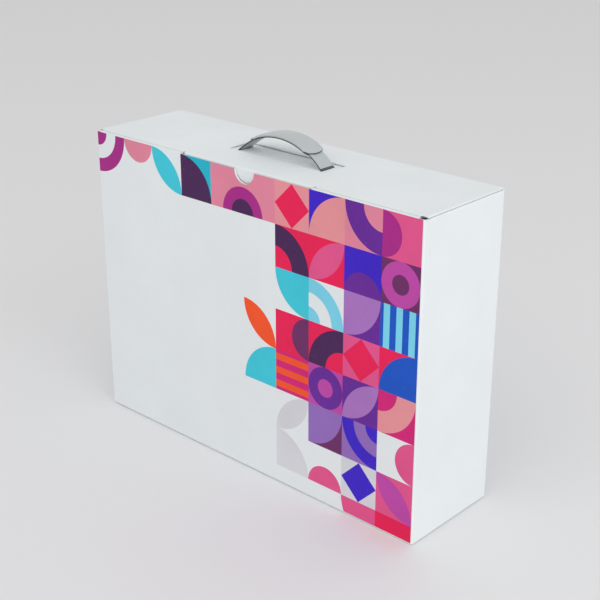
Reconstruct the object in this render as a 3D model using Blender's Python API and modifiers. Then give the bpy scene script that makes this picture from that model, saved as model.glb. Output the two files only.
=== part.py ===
"""Suitcase gift box: a carton of thin corrugated board with a plastic strap handle.

Metres, +Z up. The front wall faces -Y, the long side runs along X, and the origin
lies on the ground under the middle of the box. The walls, flaps and lid are the
panels of one creased blank, each a board of its own that meets its neighbours at a
crease. The strap handle is an arch that passes through the lid's window and the two
slots of the board under it, and ends in hooks.
"""

import math

import bmesh
import bpy
from mathutils import Vector

# Outside of the closed box, its board, and the play between pieces that touch.
BOX_LENGTH = 0.350
BOX_DEPTH = 0.096
BOX_HEIGHT = 0.260
BOARD = 0.0015
GAP = 0.0003
FOLD_RADIUS = 0.0012
RAW_EDGE_SETBACK = 0.0002

# Lock of the front wall: a lowered edge, a thumb notch and the lid's tongue behind it.
LOCK_CENTRE = 0.0025
LOCK_WIDTH = 0.141
LOCK_STEP = 0.0014
LOCK_CORNER = 0.0006
NOTCH_WIDTH = 0.021
NOTCH_DEPTH = 0.0104
CORNER_STEP_LENGTH = 0.0050

# Lid and its handle window. The whole handle stands a little off centre.
HANDLE_CENTRE = 0.0015
LID_CORNER_LENGTH = 0.0050
LID_CORNER_DEPTH = 0.0022
LID_SETBACK = 0.0005
LID_REAR_STEP = 0.0012
LID_REAR_STEP_LENGTH = 0.005
RELIEF_WIDTH = 0.0016
RELIEF_DEPTH = 0.0022
WINDOW_LENGTH = 0.105
WINDOW_WIDTH = 0.025
WINDOW_CORNER = 0.0012

# Tongue on the lid's front edge.
TONGUE_LENGTH = 0.0245
TONGUE_SIDE_CLEARANCE = 0.0015
TONGUE_TAPER = 0.004
TONGUE_CORNER = 0.010
TONGUE_ROOT = 0.0007
TONGUE_LEAN = math.radians(14)

# Dust flaps on the end walls' top edges.
DUST_FRONT_RELIEF = 0.0060
DUST_REAR_RELIEF = 0.0020
DUST_BOARD_CLEARANCE = 0.0102
DUST_TAPER = 0.005
DUST_CORNER = 0.012

# Glue flap of the blank, inside the back wall.
GLUE_WIDTH = 0.034
GLUE_TAPER = 0.010
GLUE_END_CLEARANCE = 0.005

# Bottom: two outer flaps that meet and lock with tabs, two inner flaps on them.
FLAP_SIDE_TAPER = 0.0015
FLAP_CORNER = 0.004
TAB_WIDTH = 0.072
TAB_SPACING = 0.012
TAB_REACH = 0.026
TAB_TAPER = 0.007
TAB_CORNER = 0.009
TAB_SLIT = 0.0008
TAB_BEND = 0.007
TAB_CREST = 0.0006
INNER_FLAP_LENGTH = 0.066
INNER_FLAP_TAPER = 0.010
INNER_FLAP_CORNER = 0.006

# Board glued under the lid, which takes the handle's pull.
HANDLE_BOARD_LENGTH = 0.160
HANDLE_BOARD_WIDTH = 0.064
HANDLE_BOARD_CORNER = 0.005

# Strap: an arch that rises from the lid, with hooks under the handle board.
ARCH_SPAN = 0.0828
ARCH_RISE = 0.0158
STRAP_WIDTH = 0.0145
STRAP_THICKNESS = 0.0015
STRAP_EDGE = 0.0003
SLOT_PLAY_LENGTH = 0.0014
SLOT_PLAY_WIDTH = 0.0010
HOOK_INNER_REACH = 0.0025
HOOK_OUTER_REACH = 0.0065
HOOK_SIDE_REACH = 0.0048
HOOK_CORNER = 0.0025

# Grip: the thick middle of the handle, a shell over the strap.
GRIP_LENGTH = 0.0726
GRIP_WIDTH = 0.019
GRIP_COVER = 0.0015
GRIP_LIP = 0.0011
GRIP_END_BULGE = 0.0088
GRIP_EDGE = 0.0006

# Cutting and meshing.
OVERRUN = 0.010
WELD = 0.000002
PICK = 0.00005
CORNER_STEPS = 6
NOTCH_STEPS = 20
ARCH_STEPS = 40
FOLD_STEPS = 4
EDGE_STEPS = 2
SHARP_ANGLE = math.radians(40)

# Levels and planes that several pieces share.
HALF_LENGTH = BOX_LENGTH / 2
HALF_DEPTH = BOX_DEPTH / 2
LID_UNDERSIDE = BOX_HEIGHT - BOARD
WALL_TOP = LID_UNDERSIDE - GAP
INSIDE_HALF_LENGTH = HALF_LENGTH - BOARD - GAP
INSIDE_HALF_DEPTH = HALF_DEPTH - BOARD - GAP
SECOND_LAYER = BOARD + GAP
LID_REACH = HALF_DEPTH + INSIDE_HALF_DEPTH
DUST_LENGTH = INSIDE_HALF_LENGTH - HANDLE_BOARD_LENGTH / 2 - DUST_BOARD_CLEARANCE
ARCH_RADIUS = ((ARCH_SPAN / 2) ** 2 + ARCH_RISE ** 2) / (2 * ARCH_RISE)
ARCH_CENTRE_Z = BOX_HEIGHT + ARCH_RISE - ARCH_RADIUS
BOARD_UNDERSIDE = WALL_TOP - BOARD
HOOK_TOP = BOARD_UNDERSIDE - GAP

# Colours (linear) of the board, the inside liner and the handle's plastic.
WHITE_BOARD = (0.80, 0.82, 0.82, 1)
FRONT_BOARD = (0.74, 0.76, 0.76, 1)
INNER_BOARD = (0.70, 0.70, 0.68, 1)
HANDLE_GREY = (0.45, 0.47, 0.49, 1)
BOARD_ROUGHNESS = 0.62
PLASTIC_ROUGHNESS = 0.38


def clear_scene():
    for scene_object in list(bpy.data.objects):
        bpy.data.objects.remove(scene_object, do_unlink=True)


def new_collection(name):
    collection = bpy.data.collections.new(name)
    bpy.context.scene.collection.children.link(collection)
    return collection


def material(name, colour, roughness):
    result = bpy.data.materials.new(name)
    result.use_nodes = True
    shader = result.node_tree.nodes["Principled BSDF"]
    shader.inputs["Base Color"].default_value = colour
    shader.inputs["Roughness"].default_value = roughness
    shader.inputs["Metallic"].default_value = 0
    return result


def arc(centre, radius, start, end, steps):
    """Points on a circle from one angle to another, both ends included."""
    points = []
    for index in range(steps + 1):
        angle = start + (end - start) * index / steps
        points.append((centre[0] + radius * math.cos(angle), centre[1] + radius * math.sin(angle)))
    return points


def rounded(corners):
    """Outline through (x, y, radius) corners, each rounded by its own radius."""
    points = []
    for index, (x, y, radius) in enumerate(corners):
        if not radius:
            points.append((x, y))
            continue
        corner = Vector((x, y))
        before = (Vector(corners[index - 1][:2]) - corner).normalized()
        after = (Vector(corners[(index + 1) % len(corners)][:2]) - corner).normalized()
        half_angle = before.angle(after) / 2
        centre = corner + (before + after).normalized() * radius / math.sin(half_angle)
        first = corner + before * radius / math.tan(half_angle) - centre
        last = corner + after * radius / math.tan(half_angle) - centre
        start = math.atan2(first.y, first.x)
        turn = (math.atan2(last.y, last.x) - start + math.pi) % (2 * math.pi) - math.pi
        points.extend(arc(centre, radius, start, start + turn, CORNER_STEPS))
    return points


def flat_curve(name, outlines, thickness):
    """A filled 2D curve; the outlines after the first are holes in it."""
    curve = bpy.data.curves.new(name, "CURVE")
    curve.dimensions = "2D"
    curve.fill_mode = "BOTH"
    curve.extrude = thickness / 2
    for outline in outlines:
        spline = curve.splines.new("POLY")
        spline.points.add(len(outline) - 1)
        for point, (x, y) in zip(spline.points, outline):
            point.co = (x, y, 0, 1)
        spline.use_cyclic_u = True
    return curve


def mesh_from_curve(name, curve, lift):
    """The curve's welded mesh, raised by lift so that a face can lie at zero."""
    carrier = bpy.data.objects.new(name, curve)
    bpy.context.scene.collection.objects.link(carrier)
    graph = bpy.context.evaluated_depsgraph_get()
    mesh = bpy.data.meshes.new_from_object(carrier.evaluated_get(graph))
    bpy.data.objects.remove(carrier, do_unlink=True)
    bpy.data.curves.remove(curve)
    shape = bmesh.new()
    shape.from_mesh(mesh)
    bmesh.ops.remove_doubles(shape, verts=shape.verts, dist=WELD)
    bmesh.ops.translate(shape, verts=shape.verts, vec=(0, 0, lift))
    bmesh.ops.recalc_face_normals(shape, faces=shape.faces)
    shape.to_mesh(mesh)
    shape.free()
    mesh.name = name
    return mesh


def plate(name, outlines, thickness, lift):
    return mesh_from_curve(name, flat_curve(name, outlines, thickness), lift)


def wall_board(name, outlines):
    """A board drawn with its outer face at local z = 0 and its inner face below it."""
    return plate(name, outlines, BOARD, -BOARD / 2)


def place(mesh, collection, finish, location, rotation=(0, 0, 0), parent=None):
    """Put a mesh in the scene; a parented piece keeps its place in the world."""
    piece = bpy.data.objects.new(mesh.name, mesh)
    collection.objects.link(piece)
    piece.location = location
    piece.rotation_euler = rotation
    if parent:
        piece.parent = parent
        piece.location = Vector(location) - parent.location
    mesh.materials.clear()
    mesh.materials.append(finish)
    return piece


def round_fold(mesh, on_fold):
    """Round the edges whose two ends both satisfy on_fold, as a creased board does."""
    shape = bmesh.new()
    shape.from_mesh(mesh)
    edges = [edge for edge in shape.edges if all(on_fold(vertex.co) for vertex in edge.verts)]
    bmesh.ops.bevel(shape, geom=edges, offset=FOLD_RADIUS, offset_type="OFFSET",
                    segments=FOLD_STEPS, profile=0.5, affect="EDGES")
    shape.to_mesh(mesh)
    shape.free()


def add_boolean(piece, operation, cutter):
    modifier = piece.modifiers.new(operation.title(), "BOOLEAN")
    modifier.operation = operation
    modifier.solver = "EXACT"
    modifier.object = cutter


def add_edge_bevel(piece, width):
    modifier = piece.modifiers.new("Edge", "BEVEL")
    modifier.width = width
    modifier.segments = EDGE_STEPS
    modifier.limit_method = "ANGLE"
    modifier.angle_limit = SHARP_ANGLE


def as_cutter(piece):
    piece.hide_render = True
    piece.display_type = "WIRE"
    return piece


def lid_rear_corner(side):
    """The lid's rear end, stepped in where the crease begins."""
    inner = side * (HALF_LENGTH - LID_SETBACK - LID_REAR_STEP)
    outer = side * (HALF_LENGTH - LID_SETBACK)
    return [(inner, -GAP, 0), (inner, -LID_REAR_STEP_LENGTH, 0), (outer, -LID_REAR_STEP_LENGTH, 0)]


def front_wall_outline():
    """Full height, lowered at both corners and along the lock, with the thumb notch."""
    edge = BOX_HEIGHT - LOCK_STEP
    lock_left = LOCK_CENTRE - LOCK_WIDTH / 2
    lock_right = LOCK_CENTRE + LOCK_WIDTH / 2
    radius = ((NOTCH_WIDTH / 2) ** 2 + NOTCH_DEPTH ** 2) / (2 * NOTCH_DEPTH)
    reach = math.atan2(radius - NOTCH_DEPTH, NOTCH_WIDTH / 2)
    notch_centre = (LOCK_CENTRE, edge + radius - NOTCH_DEPTH)
    step = HALF_LENGTH - CORNER_STEP_LENGTH
    left = rounded([(-HALF_LENGTH, 0, 0),
                    (HALF_LENGTH, 0, 0),
                    (HALF_LENGTH, edge, 0),
                    (step, edge, 0),
                    (step, BOX_HEIGHT, 0),
                    (lock_right, BOX_HEIGHT, LOCK_CORNER),
                    (lock_right - LOCK_STEP, edge, LOCK_CORNER)])
    notch = arc(notch_centre, radius, -reach, reach - math.pi, NOTCH_STEPS)
    right = rounded([(lock_left + LOCK_STEP, edge, LOCK_CORNER),
                     (lock_left, BOX_HEIGHT, LOCK_CORNER),
                     (-step, BOX_HEIGHT, 0),
                     (-step, edge, 0),
                     (-HALF_LENGTH, edge, 0)])
    return left + notch + right


def build_front(collection, finish):
    mesh = wall_board("front_panel", [front_wall_outline()])
    round_fold(mesh, lambda co: co.z > -PICK and abs(co.x) > HALF_LENGTH - PICK)
    round_fold(mesh, lambda co: co.z > -PICK and co.y < PICK)
    return place(mesh, collection, finish, (0, -HALF_DEPTH, 0), (math.pi / 2, 0, 0))


def build_back(collection, finish):
    """The back wall folds at the top, the bottom and one end; its other end is glued."""
    raw_end = HALF_LENGTH - RAW_EDGE_SETBACK
    outline = [(-HALF_LENGTH, 0), (raw_end, 0), (raw_end, WALL_TOP), (-HALF_LENGTH, WALL_TOP)]
    mesh = wall_board("back_panel", [outline])
    round_fold(mesh, lambda co: co.z > -PICK and co.x < PICK - HALF_LENGTH)
    round_fold(mesh, lambda co: co.z > -PICK and co.y < PICK)
    round_fold(mesh, lambda co: co.z > -PICK and co.y > WALL_TOP - PICK)
    return place(mesh, collection, finish, (0, HALF_DEPTH, 0), (math.pi / 2, 0, math.pi))


def build_end_wall(collection, finish, name, side):
    """An end wall, folded over at its top into the dust flap and at its bottom."""
    edge = INSIDE_HALF_DEPTH
    mesh = wall_board(name, [[(-edge, 0), (edge, 0), (edge, WALL_TOP), (-edge, WALL_TOP)]])
    round_fold(mesh, lambda co: co.z > -PICK and co.y > WALL_TOP - PICK)
    round_fold(mesh, lambda co: co.z > -PICK and co.y < PICK)
    turn = (math.pi / 2, 0, side * math.pi / 2)
    return place(mesh, collection, finish, (side * HALF_LENGTH, 0, 0), turn)


def build_glue_flap(collection, finish):
    """A strip on the left wall's rear edge, glued to the inside of the back wall."""
    low = GLUE_END_CLEARANCE
    high = WALL_TOP - GLUE_END_CLEARANCE
    inner = INSIDE_HALF_LENGTH - GLUE_WIDTH
    outline = [(inner, low + GLUE_TAPER), (INSIDE_HALF_LENGTH, low),
               (INSIDE_HALF_LENGTH, high), (inner, high - GLUE_TAPER)]
    mesh = wall_board("glue_flap", [outline])
    return place(mesh, collection, finish, (0, INSIDE_HALF_DEPTH, 0), (math.pi / 2, 0, math.pi))


def tab_corners(side):
    """A locking tab's outline past the seam, from its root on the right to the left."""
    middle = side * (TAB_WIDTH + TAB_SPACING) / 2
    right = middle + TAB_WIDTH / 2
    left = middle - TAB_WIDTH / 2
    slit = -TAB_BEND
    seam = -GAP / 2
    return [(right + TAB_SLIT, seam, 0), (right + TAB_SLIT, slit, 0), (right, slit, 0),
            (right - TAB_TAPER, TAB_REACH, TAB_CORNER), (left + TAB_TAPER, TAB_REACH, TAB_CORNER),
            (left, slit, 0), (left - TAB_SLIT, slit, 0), (left - TAB_SLIT, seam, 0)]


def raise_tab(mesh, side):
    """Bend the tab up a layer, so that it lies on the flap it locks."""
    middle = side * (TAB_WIDTH + TAB_SPACING) / 2
    crest = -TAB_CREST
    shape = bmesh.new()
    shape.from_mesh(mesh)
    for level in (-TAB_BEND, crest):
        geometry = shape.verts[:] + shape.edges[:] + shape.faces[:]
        bmesh.ops.bisect_plane(shape, geom=geometry, dist=PICK, plane_co=(0, level, 0), plane_no=(0, 1, 0))
    for vertex in shape.verts:
        over_tab = abs(vertex.co.x - middle) < TAB_WIDTH / 2 + TAB_SLIT / 2
        if over_tab and vertex.co.y > crest - PICK:
            vertex.co.z = SECOND_LAYER
    shape.normal_update()
    for face in shape.faces:
        if face.normal.z < 0:
            face.normal_flip()
    shape.to_mesh(mesh)
    shape.free()


def build_outer_bottom_flap(collection, finish, name, turn):
    """Half of the bottom, drawn towards +Y up to the seam, with its locking tab."""
    side = -1
    edge = INSIDE_HALF_LENGTH
    seam = -GAP / 2
    corners = [(-edge, -INSIDE_HALF_DEPTH, 0), (edge, -INSIDE_HALF_DEPTH, 0),
               (edge - FLAP_SIDE_TAPER, seam, FLAP_CORNER)]
    corners += tab_corners(side)
    corners += [(FLAP_SIDE_TAPER - edge, seam, FLAP_CORNER)]
    mesh = plate(name, [rounded(corners)], 0, 0)
    raise_tab(mesh, side)
    piece = place(mesh, collection, finish, (0, 0, 0), (0, 0, turn))
    board = piece.modifiers.new("Board", "SOLIDIFY")
    board.thickness = BOARD
    board.offset = 1
    board.use_even_offset = True
    return piece


def build_inner_bottom_flap(collection, finish, name, side):
    """A flap on an end wall's bottom edge, lying on the two outer flaps."""
    root = INSIDE_HALF_DEPTH - GAP
    tip = root - INNER_FLAP_TAPER
    corners = [(0, -root, 0), (INNER_FLAP_LENGTH, -tip, INNER_FLAP_CORNER),
               (INNER_FLAP_LENGTH, tip, INNER_FLAP_CORNER), (0, root, 0)]
    mesh = plate(name, [rounded(corners)], BOARD, BOARD / 2)
    turn = math.pi if side > 0 else 0
    place(mesh, collection, finish, (side * INSIDE_HALF_LENGTH, 0, SECOND_LAYER), (0, 0, turn))


def lid_outline():
    """The lid from its crease, at y = 0, to its front edge, with a small step at each front corner."""
    front = -LID_REACH
    edge = HALF_LENGTH - LID_SETBACK
    step = front + LID_CORNER_DEPTH
    corner = edge - LID_CORNER_LENGTH
    corners = lid_rear_corner(-1)
    corners += [(-edge, step, 0), (-corner, step, 0), (-corner, front, 0)]
    for end in (LOCK_CENTRE - LOCK_WIDTH / 2, LOCK_CENTRE + LOCK_WIDTH / 2):
        left = end - RELIEF_WIDTH / 2
        right = end + RELIEF_WIDTH / 2
        corners += [(left, front, 0), (left, front + RELIEF_DEPTH, 0),
                    (right, front + RELIEF_DEPTH, 0), (right, front, 0)]
    corners += [(corner, front, 0), (corner, step, 0), (edge, step, 0)]
    corners += list(reversed(lid_rear_corner(1)))
    return rounded(corners)


def rectangle(half_x, half_y, middle_x, middle_y, radius):
    return rounded([(middle_x - half_x, middle_y - half_y, radius),
                    (middle_x + half_x, middle_y - half_y, radius),
                    (middle_x + half_x, middle_y + half_y, radius),
                    (middle_x - half_x, middle_y + half_y, radius)])


def build_lid(collection, finish):
    """The lid, with its origin on the crease at the top of the back wall."""
    window = rectangle(WINDOW_LENGTH / 2, WINDOW_WIDTH / 2, HANDLE_CENTRE, -HALF_DEPTH, WINDOW_CORNER)
    mesh = plate("lid_panel", [lid_outline(), window], BOARD, BOARD / 2)
    lock_reach = (LOCK_WIDTH - RELIEF_WIDTH) / 2 + PICK
    top = BOARD - PICK
    round_fold(mesh, lambda co: co.z > top and co.y > -GAP - PICK)
    round_fold(mesh, lambda co: co.z > top and co.y < PICK - LID_REACH
               and abs(co.x - LOCK_CENTRE) < lock_reach)
    return place(mesh, collection, finish, (0, HALF_DEPTH, LID_UNDERSIDE))


def build_tongue(collection, finish, lid):
    """The tongue, hinged under the lid's front edge and leaning into the box."""
    root = LOCK_WIDTH / 2 - TONGUE_SIDE_CLEARANCE
    tip = root - TONGUE_TAPER
    corners = [(-root, -TONGUE_ROOT, 0), (-tip, -TONGUE_LENGTH, TONGUE_CORNER),
               (tip, -TONGUE_LENGTH, TONGUE_CORNER), (root, -TONGUE_ROOT, 0)]
    mesh = wall_board("tuck_flap", [rounded(corners)])
    location = (LOCK_CENTRE, -INSIDE_HALF_DEPTH, WALL_TOP)
    return place(mesh, collection, finish, location, (math.pi / 2 + TONGUE_LEAN, 0, 0), lid)


def build_dust_flap(collection, finish, name, side):
    """A flap on an end wall's top crease, with its origin on that crease."""
    rear = INSIDE_HALF_DEPTH - DUST_REAR_RELIEF
    front = DUST_FRONT_RELIEF - INSIDE_HALF_DEPTH
    corners = [(0, front, 0), (DUST_LENGTH, front + DUST_TAPER, DUST_CORNER),
               (DUST_LENGTH, rear - DUST_TAPER, DUST_CORNER), (0, rear, 0)]
    outline = [(-side * x, y) for x, y in rounded(corners)]
    mesh = plate(name, [outline], BOARD, BOARD / 2)
    return place(mesh, collection, finish, (side * INSIDE_HALF_LENGTH, 0, BOARD_UNDERSIDE))


def strap_x(radius, level):
    """How far from the middle a circle about the arch's centre crosses a level."""
    return math.sqrt(radius ** 2 - (level - ARCH_CENTRE_Z) ** 2)


def slot_span():
    """The nearest and farthest x that the strap takes in the handle board."""
    near = strap_x(ARCH_RADIUS, WALL_TOP)
    far = strap_x(ARCH_RADIUS + STRAP_THICKNESS, BOARD_UNDERSIDE)
    return near, far


def build_handle_board(collection, finish, lid):
    near, far = slot_span()
    half_slot = (far - near) / 2 + SLOT_PLAY_LENGTH
    half_width = STRAP_WIDTH / 2 + SLOT_PLAY_WIDTH
    middle = (far + near) / 2
    outlines = [rectangle(HANDLE_BOARD_LENGTH / 2, HANDLE_BOARD_WIDTH / 2, 0, 0, HANDLE_BOARD_CORNER)]
    for side in (-1, 1):
        outlines.append(rectangle(half_slot, half_width, side * middle, 0, WINDOW_CORNER))
    mesh = plate("handle_board", outlines, BOARD, BOARD / 2)
    return place(mesh, collection, finish, (HANDLE_CENTRE, 0, BOARD_UNDERSIDE), (0, 0, 0), lid)


def arch_band(name, inner_radius, outer_radius, half_angle, width):
    """A band between two circles about the arch's centre, standing in the XZ plane."""
    up = math.pi / 2
    outer = arc((0, 0), outer_radius, up - half_angle, up + half_angle, ARCH_STEPS)
    inner = arc((0, 0), inner_radius, up + half_angle, up - half_angle, ARCH_STEPS)
    return plate(name, [outer + inner], width, 0)


def build_strap(collection, cutters, finish, lid):
    """The arched strap; its ends run into flat hooks under the handle board."""
    middle_of_hook = HOOK_TOP - STRAP_THICKNESS / 2
    middle_radius = ARCH_RADIUS + STRAP_THICKNESS / 2
    half_angle = math.acos((middle_of_hook - ARCH_CENTRE_Z) / middle_radius)
    mesh = arch_band("handle_strap", ARCH_RADIUS, ARCH_RADIUS + STRAP_THICKNESS, half_angle, STRAP_WIDTH)
    strap = place(mesh, collection, finish, (HANDLE_CENTRE, 0, ARCH_CENTRE_Z), (math.pi / 2, 0, 0), lid)
    near, far = slot_span()
    near -= HOOK_INNER_REACH
    far += HOOK_OUTER_REACH
    for side, name in ((-1, "hook_left"), (1, "hook_right")):
        outline = rectangle((far - near) / 2, STRAP_WIDTH / 2 + HOOK_SIDE_REACH,
                            side * (far + near) / 2, 0, HOOK_CORNER)
        hook_mesh = plate(name, [outline], STRAP_THICKNESS, -STRAP_THICKNESS / 2)
        hook = as_cutter(place(hook_mesh, cutters, finish, (HANDLE_CENTRE, 0, HOOK_TOP), (0, 0, 0), lid))
        add_boolean(strap, "UNION", hook)
    add_edge_bevel(strap, STRAP_EDGE)
    return strap


def grip_plan():
    """The grip seen from above: straight sides and bulging ends."""
    half_width = GRIP_WIDTH / 2
    radius = (half_width ** 2 + GRIP_END_BULGE ** 2) / (2 * GRIP_END_BULGE)
    reach = math.asin(half_width / radius)
    centre = GRIP_LENGTH / 2 - radius
    right = arc((centre, 0), radius, -reach, reach, NOTCH_STEPS)
    left = arc((-centre, 0), radius, math.pi - reach, math.pi + reach, NOTCH_STEPS)
    return right + left


def build_grip(collection, cutters, finish, lid):
    """The grip: an arched cover over the strap with lips down both of its edges."""
    seat = ARCH_RADIUS + STRAP_THICKNESS + GAP
    lip = seat - GAP - GRIP_LIP
    half_angle = math.asin(GRIP_LENGTH / 2 / ARCH_RADIUS) + OVERRUN / ARCH_RADIUS
    stand = (math.pi / 2, 0, 0)
    mesh = arch_band("handle_grip", lip, seat + GRIP_COVER, half_angle, GRIP_WIDTH + OVERRUN)
    centre = (HANDLE_CENTRE, 0, ARCH_CENTRE_Z)
    grip = place(mesh, collection, finish, centre, stand, lid)
    plan_mesh = plate("grip_plan", [grip_plan()], 2 * ARCH_RADIUS, 0)
    plan = as_cutter(place(plan_mesh, cutters, finish, (HANDLE_CENTRE, 0, BOX_HEIGHT), (0, 0, 0), lid))
    channel_mesh = arch_band("grip_channel", seat - OVERRUN, seat, half_angle + OVERRUN / ARCH_RADIUS,
                             STRAP_WIDTH + 2 * GAP)
    channel = as_cutter(place(channel_mesh, cutters, finish, centre, stand, lid))
    add_boolean(grip, "INTERSECT", plan)
    add_boolean(grip, "DIFFERENCE", channel)
    add_edge_bevel(grip, GRIP_EDGE)
    return grip


def build():
    clear_scene()
    box = new_collection("suitcase_gift_box")
    cutters = new_collection("cutters")
    white = material("white_board", WHITE_BOARD, BOARD_ROUGHNESS)
    printed = material("front_board", FRONT_BOARD, BOARD_ROUGHNESS)
    inner = material("inner_board", INNER_BOARD, BOARD_ROUGHNESS)
    plastic = material("handle_plastic", HANDLE_GREY, PLASTIC_ROUGHNESS)
    build_front(box, printed)
    build_back(box, white)
    build_end_wall(box, white, "left_side_panel", -1)
    build_end_wall(box, white, "right_side_panel", 1)
    build_glue_flap(box, inner)
    build_outer_bottom_flap(box, white, "bottom_flap_front", 0)
    build_outer_bottom_flap(box, white, "bottom_flap_back", math.pi)
    build_inner_bottom_flap(box, inner, "bottom_flap_left", -1)
    build_inner_bottom_flap(box, inner, "bottom_flap_right", 1)
    lid = build_lid(box, white)
    build_tongue(box, white, lid)
    build_dust_flap(box, white, "dust_flap_left", -1)
    build_dust_flap(box, white, "dust_flap_right", 1)
    build_handle_board(box, white, lid)
    build_strap(box, cutters, plastic, lid)
    build_grip(box, cutters, plastic, lid)


build()
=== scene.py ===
import math
from itertools import groupby

import bmesh
import bpy
from mathutils import Matrix, Vector
from mathutils.geometry import delaunay_2d_cdt


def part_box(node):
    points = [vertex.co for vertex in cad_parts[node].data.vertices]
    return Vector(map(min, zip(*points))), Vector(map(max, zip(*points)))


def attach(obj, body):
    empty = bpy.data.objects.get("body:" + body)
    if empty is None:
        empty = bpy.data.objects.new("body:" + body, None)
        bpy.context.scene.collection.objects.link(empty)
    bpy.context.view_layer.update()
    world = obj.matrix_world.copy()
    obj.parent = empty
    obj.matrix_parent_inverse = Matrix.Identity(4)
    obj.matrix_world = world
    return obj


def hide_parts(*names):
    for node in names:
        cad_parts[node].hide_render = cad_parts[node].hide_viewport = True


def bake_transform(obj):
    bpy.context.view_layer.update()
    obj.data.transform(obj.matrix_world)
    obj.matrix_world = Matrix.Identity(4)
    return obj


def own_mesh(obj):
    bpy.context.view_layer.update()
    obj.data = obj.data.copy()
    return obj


# The looks of the suitcase gift box, in metres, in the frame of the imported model.
# Every board is built as it is made: an outer liner, an inner liner and the fluted
# sheet between them, which shows along the raw edges.

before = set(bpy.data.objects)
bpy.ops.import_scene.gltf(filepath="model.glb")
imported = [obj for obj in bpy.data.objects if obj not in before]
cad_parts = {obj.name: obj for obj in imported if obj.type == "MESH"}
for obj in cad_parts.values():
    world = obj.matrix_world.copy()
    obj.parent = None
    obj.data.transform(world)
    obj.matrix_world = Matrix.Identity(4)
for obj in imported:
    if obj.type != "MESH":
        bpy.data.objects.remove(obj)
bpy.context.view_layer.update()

front_low, front_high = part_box("front_panel")
lid_low, lid_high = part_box("lid_panel")
flap_low, flap_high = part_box("dust_flap_right")
glue_low, glue_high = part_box("glue_flap")

# The box and its board.
HALF_LENGTH = front_high[0]
HALF_DEPTH = -front_low[1]
BOX_HEIGHT = lid_high[2]
BOARD = 0.0015
GAP = 0.0003
INNER_LENGTH = HALF_LENGTH - BOARD
INNER_DEPTH = HALF_DEPTH - BOARD
LID_UNDERSIDE = BOX_HEIGHT - BOARD
WALL_TOP = LID_UNDERSIDE - GAP
FLAP_UNDERSIDE = WALL_TOP - BOARD
SECOND_LAYER = BOARD + GAP

# The board's section: liners, flutes, and the crushed rim that a die leaves.
LINER = 0.00022
FLUTE_PITCH = 0.0034
FLUTE_HEIGHT = 0.00034
FLUTE_SHEET = 0.00016
FLUTE_SETBACK = 0.00012
FLUTE_STEPS = 10
CHANNEL = 0.0006
DEEP_CHANNEL = 0.0045
RIM = 0.0006
RIM_DROP = 0.00022
CLOSED_RIM = 0.0024
CLOSED_DROP = 0.0008
UNDERCUT = 0.0008
UNDERCUT_HEIGHT = 0.0004
RIM_STEPS = 5
ROUND_STEPS = 6
FOLD_STEPS = 8
INNER_CREASE_FACES = 4

# Creases of the lid, the tongue and the dust flaps: how much of each board the crease's own strip takes.
LID_CREASE_WALL = 0.0018
LID_CREASE_LID = 0.0014
DUST_CREASE = 0.0014
TONGUE_CREASE_LID = 0.0009
TONGUE_CREASE_TONGUE = 0.0012
TONGUE_LEAN = math.radians(14)
TONGUE_FOLD = Vector((0, lid_low[1] + BOARD, LID_UNDERSIDE))

# Front wall: its lowered edges and the thumb notch.
LOCK_CENTRE = 0.0025
LOCK_WIDTH = 0.141
LOCK_STEP = 0.0014
LOCK_CORNER = 0.0006
NOTCH_WIDTH = 0.021
NOTCH_DEPTH = 0.0104
NOTCH_STEPS = 28
CORNER_STEP_LENGTH = 0.0050

# Lid.
LID_CORNER_LENGTH = 0.0050
LID_CORNER_DEPTH = 0.0022
LID_CORNER_WALL = 0.0008
LID_REAR_STEP = 0.0012
LID_REAR_STEP_LENGTH = 0.005
RELIEF_WIDTH = 0.0016
RELIEF_DEPTH = 0.0022
HANDLE_CENTRE = 0.0015
WINDOW_LENGTH = 0.105
WINDOW_WIDTH = 0.025
WINDOW_CORNER = 0.0012

# Tongue, dust flaps and glue flap.
TONGUE_LENGTH = 0.0245
TONGUE_HALF_WIDTH = 0.069
TONGUE_TAPER = 0.004
TONGUE_CORNER = 0.010
TONGUE_BENDS = (0.003, 0.0055, 0.008, 0.011, 0.014)
TONGUE_LOW_BENDS = (0.0175, 0.021)
BEND_LINE_SETBACK = 0.0008
DUST_TAPER = 0.005
DUST_CORNER = 0.012
GLUE_TAPER = 0.010
RAW_END_SETBACK = 0.0002

# Bottom flaps.
FLAP_SIDE_TAPER = 0.0015
FLAP_CORNER = 0.004
TAB_WIDTH = 0.072
TAB_SPACING = 0.012
TAB_REACH = 0.026
TAB_TAPER = 0.007
TAB_CORNER = 0.009
TAB_SLIT = 0.0008
TAB_BEND = 0.007
TAB_CREST = 0.0006
TAB_ROOT_SHARE = 0.12
BEND_STEPS = 8
INNER_FLAP_LENGTH = 0.066
INNER_FLAP_TAPER = 0.010
INNER_FLAP_CORNER = 0.006

# Handle: the board under the lid, the strap, its hooks and the grip.
HANDLE_BOARD_LENGTH = 0.160
HANDLE_BOARD_WIDTH = 0.064
HANDLE_BOARD_CORNER = 0.005
ARCH_SPAN = 0.0828
ARCH_RISE = 0.0158
ARCH_RADIUS = ((ARCH_SPAN / 2) ** 2 + ARCH_RISE ** 2) / (2 * ARCH_RISE)
ARCH_CENTRE = BOX_HEIGHT + ARCH_RISE - ARCH_RADIUS
ARCH_LEAN = 0.11
UPRIGHT_LEVEL = 0.268
ARCH_STEPS = 72
STRAP_WIDTH = 0.0145
STRAP_THICKNESS = 0.0015
STRAP_EDGE = 0.0004
STRAP_EDGE_STEPS = 4
ARCH_FOOT = 0.2570
LEG_TOP = 0.2581
LEG_INSET = 0.00005
LEG_STEPS = 6
FOOT_STEPS = 3
# Below this level the strap's feet are painted dark: painted shade for the slots they enter.
FOOT_PAINTED_SHADE_TOP = 0.2592
SLOT_PLAY_LENGTH = 0.0002
SLOT_PLAY_WIDTH = 0.0012
HOOK_INNER_REACH = 0.0025
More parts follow.
